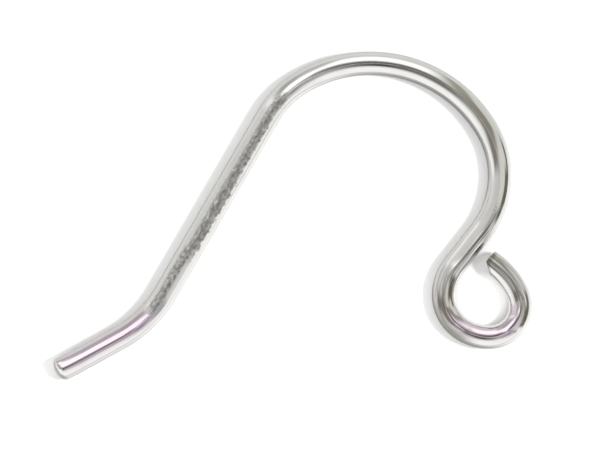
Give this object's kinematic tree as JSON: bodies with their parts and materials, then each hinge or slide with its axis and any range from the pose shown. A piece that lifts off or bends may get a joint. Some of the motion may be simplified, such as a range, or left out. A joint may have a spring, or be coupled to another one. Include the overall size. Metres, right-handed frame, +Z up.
{
  "type": "ear wire",
  "caption": "Fish-hook ear wire bent from plain round silver wire, with a kicked-out tail, a round arch and an open eye that carries the earring.",
  "frame": {"origin": "centre of the wire's bounding box, on the surface that it lies on", "axes": "+Y along the shank from the tail towards the crown, +X from the shank towards the eye, +Z up out of the plane of the bent wire"},
  "size_m": [0.0132, 0.0156, 0.0008],
  "materials": {
    "silver": "bright polished silver with fine drawing lines"
  },
  "bodies": {
    "root": {"ear_wire": "silver"}
  },
  "joints": []
}
